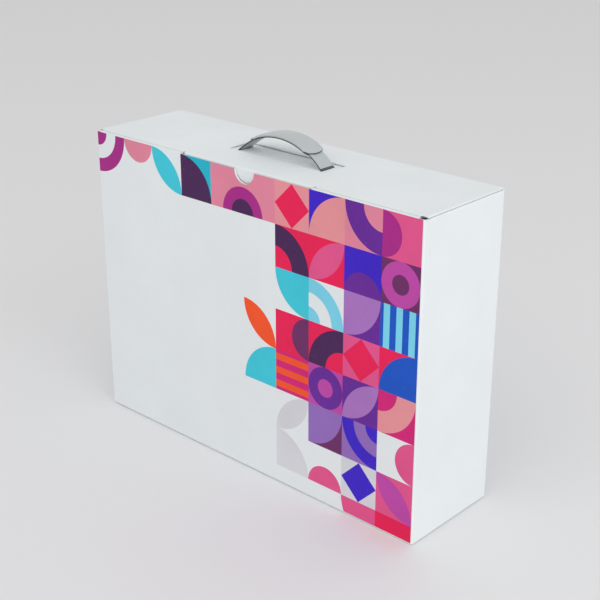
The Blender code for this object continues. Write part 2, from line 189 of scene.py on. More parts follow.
HOOK_OUTER_REACH = 0.0080
HOOK_SIDE_REACH = 0.0048
HOOK_CORNER = 0.0025
HOOK_TOP = FLAP_UNDERSIDE - GAP
GRIP_LENGTH = 0.0659
GRIP_WIDTH = 0.020
GRIP_BULGE = 0.0026
GRIP_CORNER = 0.0026
GRIP_COVER = 0.0015
GRIP_LIP = 0.0011
GRIP_SEAT = STRAP_THICKNESS + GAP
GRIP_TOP = GRIP_SEAT + GRIP_COVER
LIP_LEVEL = GRIP_SEAT - GAP - GRIP_LIP
GRIP_CROWN = 0.0007
GRIP_EDGE = 0.0005
GRIP_END_SLOPE = 0.0003
GRIP_END_REACH = 0.0062
GRIP_END_INSETS = (0.0015, 0.0029, 0.0042, 0.0047, GRIP_END_REACH)
GRIP_EDGE_SHARES = (0, 0.08, 0.3, 0.65, 1)
GRIP_CORNER_SHARES = (0.42, 0.68, 1)
GRIP_PAD_STEP = 0.00018
GRIP_CHANNEL_WALL = 0.0001
# Painted shade on the grip: the lowest band of its sides and the rows nearest its ends are drawn dark.
GRIP_PAINTED_SHADE_BAND = 0.0010
GRIP_PAINTED_SHADE_ROWS = 3
GRIP_ROWS = 48
GRIP_COLUMNS = 10

# Print on the front wall: tiles, counted from its top left corner.
PRINT_MARGIN = 0.00002
PRINT_TOP = BOX_HEIGHT - LOCK_STEP - PRINT_MARGIN
PRINT_BOTTOM = BOARD + PRINT_MARGIN
PRINT_EDGE = INNER_LENGTH - PRINT_MARGIN
TILE_COUNT = 10
TILE = 2 * PRINT_EDGE / TILE_COUNT
PRINT_ARC_STEPS = 28

# Camera, floor and light.
CAMERA_PLACE = (0.6443, -0.6828, 0.5256)
CAMERA_AIM = (-0.6255, 0.6801, -0.3825)
CAMERA_LENS = 73.7
FLOOR_SIZE = 60
FLOOR_LEVEL = -0.0004
FLOOR_COLOUR = (0.80, 0.80, 0.81, 1)
FLOOR_ROUGHNESS = 0.9
LAMPS = {"key": ((2.9, -1.1, 1.4), 39), "front": ((0.45, -2.5, 3.1), 20.5)}
LAMP_SIZE = 2.8
LAMP_TARGET = Vector((0, 0, 0.13))
SKY_STRENGTH = 0.68

# Shader values, and the places of the colours on a mix node.
FIBRE_SCALE = 2600
RIB_DEPTH = 0.00002
GRAIN_DEPTH = 0.00003
WAVE_NODE_RIPPLES = 20
MIX_FIRST, MIX_SECOND, MIX_RESULT = 6, 7, 2

WELD = 0.000001
NEARLY_STRAIGHT = 0.01
SHARP_ANGLE = math.radians(32)
RAW, CUT, HOLLOW, PINCHED, CLOSED, PLAIN = "raw", "cut", "hollow", "pinched", "closed", "plain"
FLUTED = (RAW, CUT)
CHANNELS = {RAW: CHANNEL, CUT: CHANNEL, HOLLOW: DEEP_CHANNEL, PINCHED: 0, CLOSED: 0, PLAIN: 0}
OUTER, INNER, CORE = 0, 1, 2
NO_TURN = Matrix.Identity(4)
X, Y, Z = Matrix.Identity(3)


# Colours, linear. The board's own and the inks.
WHITE = (0.81, 0.85, 0.863)
LINER_INSIDE = (0.56, 0.555, 0.53)
RAW_PAPER = (0.80, 0.805, 0.79)
PLASTIC = (0.45, 0.49, 0.495)
# The next colour is painted shade, drawn on the handle's sides, rims, feet and grip ends.
PLASTIC_PAINTED_SHADE = (0.055, 0.062, 0.062)
INKS = dict(
    magenta=(0.40, 0.015, 0.24), rose=(0.76, 0.235, 0.34), cyan=(0.045, 0.58, 0.71),
    teal=(0.008, 0.46, 0.61), night=(0.060, 0.010, 0.085), plum=(0.150, 0.020, 0.125),
    salmon=(0.80, 0.29, 0.32), crimson=(0.82, 0.006, 0.085), indigo=(0.042, 0.008, 0.56),
    violet=(0.135, 0.015, 0.31), lilac=(0.40, 0.17, 0.52), royal=(0.004, 0.085, 0.54),
    sky=(0.20, 0.65, 0.83), cerise=(0.65, 0.010, 0.18), orange=(0.92, 0.085, 0.014),
    orchid=(0.52, 0.060, 0.38), lavender=(0.29, 0.145, 0.49), mist=(0.68, 0.68, 0.72),
    pink=(0.76, 0.085, 0.26),
)
INK_NAMES = list(INKS)
BARE = "bare"

# The design: column, row, motif, quarter turns, back ink and front ink.
# A motif whose back is bare stands on the board itself.
DESIGN = """
0 0 fan 3 bare magenta
1 0 half 2 bare rose
2 0 leaf 1 bare cyan
3 0 quarter 0 teal night
4 0 solid 0 rose rose
5 0 solid 0 rose rose
6 0 diamond 0 salmon crimson
7 0 quarter 1 indigo salmon
8 0 ring 2 rose violet
9 0 half 3 pink magenta
6 1 ring 0 crimson night
7 1 leaf 0 crimson pink
8 1 half 0 indigo violet
9 1 disc 0 plum orchid
6 2 quarter 2 bare cyan
7 2 fan 0 bare sky
8 2 quarter 3 violet lilac
9 2 bars 1 royal sky
5 3 leaf 1 bare orange
6 3 half 1 crimson plum
7 3 ring 1 crimson night
8 3 diamond 0 pink crimson
9 3 quarter 1 crimson royal
5 4 quarter 1 bare cyan
6 4 bars 0 cerise orange
7 4 disc 0 orchid violet
8 4 leaf 0 violet lilac
9 4 ring 3 cerise salmon
6 5 leaf 0 bare mist
7 5 quarter 3 plum lavender
8 5 fan 2 lavender indigo
9 5 half 1 bare pink
6 6 quarter 0 bare mist
7 6 half 0 bare pink
8 6 diamond 0 mist indigo
9 6 leaf 1 pink orchid
8 7 quarter 2 bare pink
9 7 solid 0 crimson crimson
"""
WIDE_ARCH_COLUMN = 5
WIDE_ARCH_SHARES = {"magenta": 0.62, "night": 0.34}


def axes(right, up, out, origin):
    """A board's own axes: x to the right, y up, z out of its outer face."""
    turn = Matrix((right, up, out)).transposed().to_4x4()
    return Matrix.Translation(origin) @ turn


class Shell:
    """A mesh gathered face by face; corners at one place are one vertex."""

    def __init__(self, place=NO_TURN, warp=None):
        self.place, self.warp = place, warp
        self.vertices, self.faces, self.slots, self.found = [], [], [], {}

    def vertex(self, point):
        point = Vector(point)
        key = tuple(round(value / WELD) for value in point)
        if key not in self.found:
            self.found[key] = len(self.vertices)
            if self.warp:
                point = self.warp(point)
            self.vertices.append(self.place @ point)
        return self.found[key]

    def face(self, points, slot=OUTER):
        corners = list(dict.fromkeys(self.vertex(point) for point in points))
        if len(corners) > 2:
            self.faces.append(corners)
            self.slots.append(slot)


def make_piece(name, shells, materials, body=None, node=None):
    """One object from closed shells, on its body and in the place of its node."""
    vertices, faces, slots = [], [], []
    for shell in shells:
        base = len(vertices)
        vertices.extend(shell.vertices)
        faces.extend([[base + corner for corner in face] for face in shell.faces])
        slots.extend(shell.slots)
    mesh = bpy.data.meshes.new(name)
    mesh.from_pydata(vertices, [], faces)
    mesh.polygons.foreach_set("material_index", slots)
    shape = bmesh.new()
    shape.from_mesh(mesh)
    bmesh.ops.recalc_face_normals(shape, faces=shape.faces)
    shape.to_mesh(mesh)
    shape.free()
    mesh.shade_smooth()
    mesh.set_sharp_from_angle(angle=SHARP_ANGLE)
    for material in materials:
        mesh.materials.append(material)
    piece = bpy.data.objects.new(name, mesh)
    bpy.context.scene.collection.objects.link(piece)
    if body:
        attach(piece, body)
    if node:
        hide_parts(node)
    return piece


def spread(start, end, steps):
    return [start + (end - start) * index / steps for index in range(steps + 1)]


def arc(centre, radius, start, end, steps):
    """Points on a circle from one angle to another, both ends included."""
    return [(centre[0] + radius * math.cos(angle), centre[1] + radius * math.sin(angle))
            for angle in spread(start, end, steps)]


def rounded(corners):
    """Points (x, y, kind of the next edge) from corners, some with a radius before the kind."""
    points = []
    for index, (x, y, *radius, kind) in enumerate(corners):
        if not radius:
            points.append((x, y, kind))
            continue
        radius = radius[0]
        corner = Vector((x, y))
        before, after = [(Vector(corners[beside % len(corners)][:2]) - corner).normalized()
                         for beside in (index - 1, index + 1)]
        half_angle = before.angle(after) / 2
        centre = corner + (before + after).normalized() * radius / math.sin(half_angle)
        first = corner + before * radius / math.tan(half_angle) - centre
        last = corner + after * radius / math.tan(half_angle) - centre
        start = math.atan2(first.y, first.x)
        turn = (math.atan2(last.y, last.x) - start + math.pi) % (2 * math.pi) - math.pi
        for point in arc(centre, radius, start, start + turn, ROUND_STEPS):
            points.append((*point, kind))
    return points


def rectangle(half_x, half_y, radius, kind, hole_at=None):
    """A rounded rectangle about x = 0, or a hole about another x, which runs clockwise."""
    corners = [(-half_x, -half_y), (half_x, -half_y), (half_x, half_y), (-half_x, half_y)]
    if hole_at is not None:
        corners = corners[:1] + corners[:0:-1]
    return rounded([((hole_at or 0) + x, y, radius, kind) for x, y in corners])


def within(x, y, loop):
    """True if the point lies inside the loop."""
    hit = False
    x1, y1 = loop[-1][:2]
    for point in loop:
        x2, y2 = point[:2]
        if (y1 > y) != (y2 > y) and x < (x2 - x1) * (y - y1) / (y2 - y1) + x1:
            hit = not hit
        x1, y1 = x2, y2
    return hit


def triangles(loops, lines=()):
    """Triangles, each with its middle, in the first loop but not its holes; lines cut them."""
    points, edges = [], []
    for loop in (*loops, *lines):
        base, count = len(points), len(loop)
        points.extend(Vector(point[:2]) for point in loop)
        for index in range(count if count > 2 else 1):
            edges.append((base + index, base + (index + 1) % count))
    filled = delaunay_2d_cdt(points, edges, [], 0, WELD / 10, False)
    for face in filled[2]:
        corners = [filled[0][index] for index in face]
        middle = sum(corners, Vector((0, 0))) / len(corners)
        if sum(within(*middle, loop) for loop in loops) == 1:
            yield corners, middle


def board_levels():
    """The edges' sections from the outer face to the inner: each kind's (inset, height).

    Raw and cut edges show the flutes; a cut edge's rim stays sharp, as print runs up to
    it. A hollow edge has lost its flutes, so the liners gape there. In a pinched edge the
    liners meet, and a closed edge is pressed round as well.
    """
    levels = []
    for angle in spread(0, math.pi / 2, RIM_STEPS):
        inset, drop = 1 - math.sin(angle), 1 - math.cos(angle)
        raw = (RIM * inset, -RIM_DROP * drop)
        sharp = (0, -RIM_DROP * drop)
        closed = (CLOSED_RIM * inset, -CLOSED_DROP * drop)
        levels.append({RAW: raw, CUT: sharp, HOLLOW: raw, PINCHED: raw, CLOSED: closed, PLAIN: sharp})
    upper, lower = -RIM_DROP - LINER, LINER - BOARD
    for depth_share, height in ((0, upper), (1, upper), (1, lower), (0, lower), (0, -BOARD)):
        level = {kind: (depth * depth_share, height) for kind, depth in CHANNELS.items()}
        level[CLOSED] = level[PINCHED] = (0, min(height, -CLOSED_DROP))
        levels.append(level)
    for kind in (PINCHED, CLOSED):
        levels[-3][kind] = levels[-2][kind] = (0, UNDERCUT_HEIGHT - BOARD)
        levels[-1][kind] = (UNDERCUT, -BOARD)
    return levels


LEVELS = board_levels()
LEVEL_SLOTS = [OUTER] * RIM_STEPS + [OUTER, CORE, CORE, CORE, INNER]


def moved_corner(loop, index, insets):
    """The loop's corner once the edges beside it have moved in by their kinds' insets."""
    here = Vector(loop[index][:2])
    before = (here - Vector(loop[index - 1][:2])).normalized()
    after = (Vector(loop[(index + 1) % len(loop)][:2]) - here).normalized()
    first, second = Vector((-before.y, before.x)), Vector((-after.y, after.x))
    inset_1, inset_2 = insets[loop[index - 1][2]], insets[loop[index][2]]
    cross = first.x * second.y - first.y * second.x
    if abs(cross) < NEARLY_STRAIGHT:
        return here + second * max(inset_1, inset_2)
    x = (inset_1 * second.y - inset_2 * first.y) / cross
    y = (inset_2 * first.x - inset_1 * second.x) / cross
    return here + Vector((x, y))


def moved_in(loop, inset):
    """The loop's corners once its fluted edges have moved in."""
    insets = {kind: inset if kind in FLUTED else 0 for kind in CHANNELS}
    return [moved_corner(loop, index, insets) for index in range(len(loop))]


def edge_columns(loop):
    """For each corner of the loop, its places from the outer face down to the inner."""
    for index, (x, y, kind) in enumerate(loop):
        beside = (loop[index - 1][2], kind)
        if beside == (PLAIN, PLAIN):
            yield [Vector((x, y, 0)), Vector((x, y, -BOARD))]
            continue
        column = []
        for level in LEVELS:
            corner = moved_corner(loop, index, {one: level[one][0] for one in beside})
            column.append(Vector((*corner, max(level[one][1] for one in beside))))
        yield column


def board(loops, place, across, warp=None, lines=(), ink=None):
    """A board's liners with the channel between them, and the flutes in its raw edges.

    The flutes lie side by side along axis number across. ink(x, y) gives a printed face's slot.
    """
    shell = Shell(place, warp)
    columns = [list(edge_columns(loop)) for loop in loops]
    tops, bottoms = [[[column[end] for column in one] for one in columns] for end in (0, -1)]
    for corners, middle in triangles(tops, lines):
        slot = ink(*middle) if ink else OUTER
        shell.face([(*corner, 0) for corner in corners], slot)
    for corners, middle in triangles(bottoms, () if ink else lines):
        shell.face([(*corner, -BOARD) for corner in reversed(corners)], INNER)
    for loop, one in zip(loops, columns):
        for (*_, kind), column, after in zip(loop, one, one[1:] + one[:1]):
            if kind == PLAIN:
                shell.face(column + after[::-1])
                continue
            for level, slot in enumerate(LEVEL_SLOTS):
                if kind in (PINCHED, CLOSED):
                    slot = OUTER
                if ink and slot == OUTER:
                    middle = (column[level] + after[level + 1]) / 2
                    slot = ink(middle.x, middle.y)
                shell.face([column[level], column[level + 1], after[level + 1], after[level]], slot)
    return [shell] + flute_ribbons(loops, place, across, warp)


def raw_runs(loop):
    """Stretches of neighbouring edges that show flutes, as lists of edge numbers."""
    raw = [point[2] in FLUTED for point in loop]
    start = 0 if all(raw) else raw.index(False)
    order = [*range(start, len(loop)), *range(start)]
    return [list(run) for shows, run in groupby(order, raw.__getitem__) if shows]


def flute_ribbons(loops, place, across, warp=None):
    """The fluted sheet's edge, a thin wave between the liners along each raw edge."""
    middle = (-RIM_DROP - BOARD) / 2
    shells = []
    for loop in loops:
        outer, inner = moved_in(loop, FLUTE_SETBACK), moved_in(loop, CHANNEL)
        for run in raw_runs(loop):
            rings = []
            for edge in run:
                after = (edge + 1) % len(loop)
                span = abs(outer[after][across] - outer[edge][across])
                steps = max(1, math.ceil(span / FLUTE_PITCH * FLUTE_STEPS))
                for share in spread(0, 1, steps)[1 if rings else 0:]:
                    out = outer[edge].lerp(outer[after], share)
                    deep = inner[edge].lerp(inner[after], share)
                    height = middle + FLUTE_HEIGHT * math.sin(2 * math.pi * out[across] / FLUTE_PITCH)
                    top, bottom = height + FLUTE_SHEET / 2, height - FLUTE_SHEET / 2
                    rings.append([Vector((*out, top)), Vector((*out, bottom)),
                                  Vector((*deep, bottom)), Vector((*deep, top))])
            shells.append(swept(rings, place, CORE, warp))
    return shells


def swept(rings, place=NO_TURN, slot=OUTER, warp=None):
    """A closed shell through rings of points, capped at both ends if these are apart."""
    shell = Shell(place, warp)
    if rings[0] != rings[-1]:
        shell.face(rings[0], slot)
        shell.face(rings[-1][::-1], slot)
    for ring, after in zip(rings, rings[1:]):
        for corners in zip(ring, after, after[1:] + after[:1], ring[1:] + ring[:1]):
            shell.face(corners, slot)
    return shell


def crease(first, second, corner, length, leads=None):
    """The bent strip between boards that face the first and the second direction.

    The leads are what it takes of each board.
    """
    section = arc((0, 0), BOARD, math.pi / 2, 0, 2 * FOLD_STEPS if leads else FOLD_STEPS)
    if leads:
        one, two = leads
        section = [(-one, BOARD), *section, (BOARD, -two / 2), (BOARD, -two), (0, -two), (0, -two / 2),
                   (0, 0), (-one / 2, 0), (-one, 0)]
    else:
        section.append((0, 0))
    rings = [[Vector((x, along, z)) for x, z in section] for along in (0, length)]
    shell = swept(rings, axes(second, first.cross(second), first, corner))
    if leads:
        shell.slots[-INNER_CREASE_FACES - 1:-1] = [INNER] * INNER_CREASE_FACES
    return shell


def corner_cap(corner, directions):
    """The eighth of a ball where three creases meet."""
    shell = Shell(Matrix.Translation(corner) @ Matrix.Diagonal((*directions, 1)))
    angles = spread(0, math.pi / 2, FOLD_STEPS)
    rows = [[(BOARD * math.cos(tilt) * math.cos(turn), BOARD * math.cos(tilt) * math.sin(turn),
              BOARD * math.sin(tilt)) for turn in angles] for tilt in angles]
    middle = (0, 0, 0)
    for row, after in zip(rows, rows[1:]):
        shell.face([middle, row[0], after[0]])
        shell.face([middle, after[-1], row[-1]])
        for corners in zip(row, row[1:], after[1:], after):
            shell.face(corners)
    for first, second in zip(rows[0], rows[0][1:]):
        shell.face([middle, second, first])
    return shell


# Materials.


def new_material(name):
    material = bpy.data.materials.new(name)
    material.use_nodes = True
    return material, material.node_tree


def set_inputs(tree, node, inputs):
    """Gives each of the node's inputs a link from a socket, or a value."""
    for name, value in inputs.items():
        if isinstance(value, bpy.types.NodeSocket):
            tree.links.new(value, node.inputs[name])
        else:
            node.inputs[name].default_value = value


def add_node(tree, kind, inputs, output=0, **settings):
    made = tree.nodes.new("ShaderNode" + kind)
    for name, value in settings.items():
        setattr(made, name, value)
    set_inputs(tree, made, inputs)
    return made.outputs[output]


def noise(tree, place, scale, detail, roughness=0.5):
    inputs = {"Vector": place, "Scale": scale, "Detail": detail, "Roughness": roughness}
    return add_node(tree, "TexNoise", inputs)


def remap(tree, value, low, high, to_low, to_high):
    inputs = {"Value": value, "From Min": low, "From Max": high, "To Min": to_low, "To Max": to_high}
    return add_node(tree, "MapRange", inputs)


def mix(tree, factor, first, second):
    """Mixes two colours, each a socket or a colour with its alpha."""
    inputs = {"Factor": factor, MIX_FIRST: first, MIX_SECOND: second}
    return add_node(tree, "Mix", inputs, MIX_RESULT, data_type="RGBA")


def bump(tree, height, strength, depth, before=None):
    inputs = {"Height": height, "Strength": strength, "Distance": depth}
    if before:
        inputs["Normal"] = before
    return add_node(tree, "Bump", inputs)


def washboard(tree, place, direction):
    """The faint ribs that the flutes press through the liner."""
    inputs = {"Vector": place, "Scale": 2 * math.pi / (WAVE_NODE_RIPPLES * FLUTE_PITCH),
              "Distortion": 0, "Detail": 0}
    return add_node(tree, "TexWave", inputs, "Fac", wave_type="BANDS", bands_direction=direction)


def scaled(colour, share):
    return (*(value * share for value in colour), 1)


def finished(material, base, sheen, normal, specular=0.5):
    tree = material.node_tree
    set_inputs(tree, tree.nodes["Principled BSDF"], {
        "Base Color": base, "Roughness": sheen, "Normal": normal, "Specular IOR Level": specular})
    return material


def clouded(tree, place, scale, colour, dark_share, light_share):
    tone = remap(tree, noise(tree, place, scale, 4, 0.55), 0.35, 0.65, 0.0, 1.0)
    return mix(tree, tone, scaled(colour, dark_share), scaled(colour, light_share))


def ribbed(tree, place, direction, ribs, fibre, grain):
    normal = bump(tree, washboard(tree, place, direction), ribs, RIB_DEPTH)
    return bump(tree, fibre, grain, GRAIN_DEPTH, normal)


def paper_material(name, colour, direction, roughness, ribs=0.25, mottle=0.045):
    """Paper over flutes: clouding, short fibres and the washboard ribs."""
    material, tree = new_material(name)
    place = add_node(tree, "TexCoord", {}, "Object")
    stretched = add_node(tree, "Mapping", {"Vector": place, "Scale": (1.0, 1.0, 0.35)})
    fibre = noise(tree, stretched, FIBRE_SCALE, 3, 0.65)
    base = clouded(tree, place, 16, colour, 1 - mottle / 2, 1 + mottle / 3)
    grain = remap(tree, fibre, 0.42, 0.72, 0.0, 0.55)
    base = mix(tree, grain, base, scaled(colour, 1 - 2 * mottle))
    sheen = remap(tree, fibre, 0.3, 0.7, roughness - 0.05, roughness + 0.06)
    return finished(material, base, sheen, ribbed(tree, place, direction, ribs, fibre, 0.35), 0.35)


def ink_material(name, colour):
    """Printed ink: slight unevenness and pinholes over the paper's own grain."""
    material, tree = new_material(name)
    place = add_node(tree, "TexCoord", {}, "Object")
    fibre = noise(tree, place, FIBRE_SCALE, 3, 0.65)
    base = clouded(tree, place, 22, colour, 0.95, 1.04)
    lighter = (*(value + (1 - value) * 0.04 for value in colour), 1)
    base = mix(tree, remap(tree, fibre, 0.48, 0.75, 0.0, 0.6), base, lighter)
    pinhole = remap(tree, noise(tree, place, 900, 2), 0.74, 0.80, 0.0, 0.35)
    base = mix(tree, pinhole, base, scaled(WHITE, 1))
    sheen = remap(tree, fibre, 0.3, 0.7, 0.42, 0.52)
    return finished(material, base, sheen, ribbed(tree, place, "X", 0.25, fibre, 0.25), 0.2)


def plastic_material(name, colour):
    """Moulded plastic with a fine satin grain and faint flow marks."""
    material, tree = new_material(name)
    place = add_node(tree, "TexCoord", {}, "Object")
    flow = noise(tree, place, 60, 3)
    tone = remap(tree, flow, 0.3, 0.7, 0.0, 1.0)
    base = mix(tree, tone, scaled(colour, 0.965), scaled(colour, 1.03))
    sheen = remap(tree, flow, 0.3, 0.7, 0.34, 0.42)
    return finished(material, base, sheen, bump(tree, noise(tree, place, 5200, 2), 0.18, GRAIN_DEPTH))


def board_materials(axis, raw_paper):
    """Outer liner, inner liner and raw edge; the flutes lie side by side along the axis."""
    return [paper_material("paper_ribs_" + axis, WHITE, axis.upper(), 0.60),
            paper_material("inside_ribs_" + axis, LINER_INSIDE, axis.upper(), 0.72, 0.5, 0.06),
            raw_paper]


raw_paper = paper_material("raw_paper", RAW_PAPER, "X", 0.8, 0.0, 0.08)
BOARD_X = board_materials("x", raw_paper)
BOARD_Y = board_materials("y", raw_paper)
# The second handle material is painted shade: dark plastic where shade falls on the strap and the grip.
HANDLE = [plastic_material("handle_plastic", PLASTIC), plastic_material("handle_painted_shade", PLASTIC_PAINTED_SHADE)]


# The print.


def unit_motifs():
    """Each motif's shapes in a unit tile: ("front" or "back", points)."""
    steps, half = PRINT_ARC_STEPS, math.pi / 2

    def wedge(radius):
        return [(0, 0)] + arc((0, 0), radius, 0, half, steps)

    def circle(radius, count):
        return arc((0.5, 0.5), radius, 0, 2 * math.pi, count)[:-1]

    return {
        "solid": [],
        "quarter": [("front", wedge(1))],
        "ring": [("front", arc((0, 0), 1, 0, half, steps) + arc((0, 0), 0.5, half, 0, steps))],
        "half": [("front", arc((0.5, 0), 0.5, 0, math.pi, steps))],
        "leaf": [("front", arc((1, 0), 1, math.pi, half, steps)[:-1] + arc((0, 1), 1, 0, -half, steps)[:-1])],
        "disc": [("front", circle(0.5, 2 * steps)), ("back", circle(0.22, steps))],
        "diamond": [("front", [(0.5, 0), (1, 0.5), (0.5, 1), (0, 0.5)])],
        "fan": [("front", wedge(1)), ("back", wedge(2 / 3)), ("front", wedge(1 / 3))],
        "bars": [("front", [(0, low), (1, low), (1, low + 1 / 6), (0, low + 1 / 6)])
                 for low in (0.5 / 6, 2.5 / 6, 4.5 / 6)],
    }


def turned(points, quarters):
    for _ in range(quarters):
        points = [(1 - y, x) for x, y in points]
    return points


def cut_at_bottom(points):
    """The part of a shape above the print's lower edge."""
    kept = []
    for (x1, y1), (x2, y2) in zip(points[-1:] + points, points):
        if (y1 < PRINT_BOTTOM) != (y2 < PRINT_BOTTOM):
            share = (PRINT_BOTTOM - y1) / (y2 - y1)
            kept.append((x1 + (x2 - x1) * share, PRINT_BOTTOM))
        if y2 >= PRINT_BOTTOM:
            kept.append((x2, y2))
    return kept


def print_shapes():
    """The design's shapes in the front wall's plane, in painting order: (ink, points)."""
    motifs = unit_motifs()
    for line in DESIGN.strip().splitlines():
        column, row, motif, quarters, back, front = line.split()
        left = TILE * int(column) - PRINT_EDGE
        low = PRINT_TOP - TILE * (int(row) + 1)
        parts = [] if back == BARE else [("back", [(0, 0), (1, 0), (1, 1), (0, 1)])]
        for part, points in parts + motifs[motif]:
            placed = [(left + TILE * x, low + TILE * y) for x, y in turned(points, int(quarters))]
            placed = cut_at_bottom(placed)
            if len(placed) > 2:
                yield back if part == "back" else front, placed
    centre = (TILE * WIDE_ARCH_COLUMN - PRINT_EDGE, PRINT_TOP - TILE)
    for ink, share in WIDE_ARCH_SHARES.items():
        yield ink, arc(centre, TILE * share, 0, math.pi, PRINT_ARC_STEPS)


def ink_finder(shapes):
    """Makes the function that gives a place's material slot on the front wall."""
    boxed = []
    for ink, points in shapes:
        xs, ys = zip(*points)
        boxed.append((ink, points, min(xs), max(xs), min(ys), max(ys)))

    def slot(x, y):
        if y > PRINT_TOP + 2 * PRINT_MARGIN:
            return OUTER
        y = min(max(y, PRINT_BOTTOM + PRINT_MARGIN), PRINT_TOP - PRINT_MARGIN)
        x = min(max(x, PRINT_MARGIN - PRINT_EDGE), PRINT_EDGE - PRINT_MARGIN)
        for ink, points, left, right, low, high in reversed(boxed):
            if left <= x <= right and low <= y <= high and within(x, y, points):
                return OUTER if ink == BARE else CORE + 1 + INK_NAMES.index(ink)
        return OUTER

    return slot


# The boards.


def front_outline():
    """The front wall between its creases, with its lowered edges and the notch."""
    edge = BOX_HEIGHT - LOCK_STEP
    left, right = LOCK_CENTRE - LOCK_WIDTH / 2, LOCK_CENTRE + LOCK_WIDTH / 2
    step = HALF_LENGTH - CORNER_STEP_LENGTH
    radius = ((NOTCH_WIDTH / 2) ** 2 + NOTCH_DEPTH ** 2) / (2 * NOTCH_DEPTH)
    reach = math.atan2(radius - NOTCH_DEPTH, NOTCH_WIDTH / 2)
    centre = (LOCK_CENTRE, edge + radius - NOTCH_DEPTH)
    first = rounded([
        (-INNER_LENGTH, BOARD, PLAIN), (INNER_LENGTH, BOARD, PLAIN), (INNER_LENGTH, edge, CUT),
        (step, edge, CUT), (step, BOX_HEIGHT, RAW), (right, BOX_HEIGHT, LOCK_CORNER, CUT),
        (right - LOCK_STEP, edge, LOCK_CORNER, CUT)])
    notch = [(x, y, PLAIN) for x, y in arc(centre, radius, -reach, reach - math.pi, NOTCH_STEPS)]
    notch[-1] = (*notch[-1][:2], CUT)
    last = rounded([
        (left + LOCK_STEP, edge, LOCK_CORNER, CUT), (left, BOX_HEIGHT, LOCK_CORNER, RAW),
        (-step, BOX_HEIGHT, CUT), (-step, edge, CUT), (-INNER_LENGTH, edge, PLAIN)])
    return first + notch + last


def build_front():
    shapes = list(print_shapes())
    lines = [points for ink, points in shapes]
    place = axes(X, Z, -Y, (0, -HALF_DEPTH, 0))
    shells = board([front_outline()], place, 0, lines=lines, ink=ink_finder(shapes))
    height = BOX_HEIGHT - LOCK_STEP - BOARD
    left, right = [Vector((x, -INNER_DEPTH, BOARD)) for x in (-INNER_LENGTH, INNER_LENGTH)]
    shells += [crease(-Y, X, right, height), crease(-X, -Y, left, height),
               crease(-Y, -Z, left, 2 * INNER_LENGTH),
               corner_cap(left, (-1, -1, -1)), corner_cap(right, (1, -1, -1))]
    inks = [ink_material("ink_" + name, INKS[name]) for name in INK_NAMES]
    make_piece("front_wall", shells, BOARD_X + inks, "carton", "front_panel")


def build_back():
    """The back wall; its far end, at the glue flap, is raw."""
    raw_end, top = HALF_LENGTH - RAW_END_SETBACK, LID_UNDERSIDE - LID_CREASE_WALL
    outline = [(-INNER_LENGTH, BOARD, PLAIN), (raw_end, BOARD, RAW),
               (raw_end, top, PLAIN), (-INNER_LENGTH, top, PLAIN)]
    corner = (INNER_LENGTH, INNER_DEPTH, BOARD)
    shells = board([outline], axes(-X, Z, Y, (0, HALF_DEPTH, 0)), 0)
    shells += [crease(X, Y, corner, WALL_TOP - BOARD), crease(Y, -Z, corner, INNER_LENGTH + raw_end),
               corner_cap(corner, (1, 1, -1))]
    make_piece("back_wall", shells, BOARD_X, "carton", "back_panel")


def end_wall_outline(rear):
    """An end wall that ends at y = rear, lowered where its crease strip begins."""
    front, crease_low = -INNER_DEPTH, FLAP_UNDERSIDE - DUST_CREASE
    return [(front, BOARD), (rear, BOARD), (rear, WALL_TOP), (flap_high[1], WALL_TOP),
            (flap_high[1], crease_low), (flap_low[1], crease_low), (flap_low[1], WALL_TOP),
            (front, WALL_TOP)]


def build_right():
    outline = [(y, z, PLAIN) for y, z in end_wall_outline(INNER_DEPTH)]
    shells = board([outline], axes(Y, Z, X, (HALF_LENGTH, 0, 0)), 0)
    shells.append(crease(X, -Z, (INNER_LENGTH, -INNER_DEPTH, BOARD), 2 * INNER_DEPTH))
    make_piece("right_wall", shells, BOARD_Y, "carton", "right_side_panel")


def build_left():
    """The left wall, with its crease to the glue flap inside the back wall's raw end."""
    rear = glue_high[1] - BOARD
    outline = [(-y, z, PLAIN) for y, z in reversed(end_wall_outline(rear))]
    corner = (-INNER_LENGTH, rear, BOARD)
    shells = board([outline], axes(-Y, Z, -X, (-HALF_LENGTH, 0, 0)), 0)
    shells += [crease(-X, -Z, corner, rear + INNER_DEPTH), crease(Y, -X, corner, WALL_TOP - BOARD),
               corner_cap(corner, (-1, 1, -1))]
    make_piece("left_wall", shells, BOARD_Y, "carton", "left_side_panel")


def build_glue_flap():
    inner, low, high = -glue_high[0], glue_low[2], glue_high[2]
    outline = [(inner, low + GLUE_TAPER, RAW), (INNER_LENGTH, low, PLAIN),
               (INNER_LENGTH, high, RAW), (inner, high - GLUE_TAPER, RAW)]
    shells = board([outline], axes(-X, Z, Y, (0, glue_high[1], 0)), 0)
    make_piece("glue_strip", shells, BOARD_X, "carton", "glue_flap")


def tab_lift(y):
    """How far a bottom tab has risen at a distance from the seam."""
    share = min(max((y + TAB_BEND) / (TAB_BEND - TAB_CREST), 0), 1)
    return SECOND_LAYER * share * share * (3 - 2 * share)


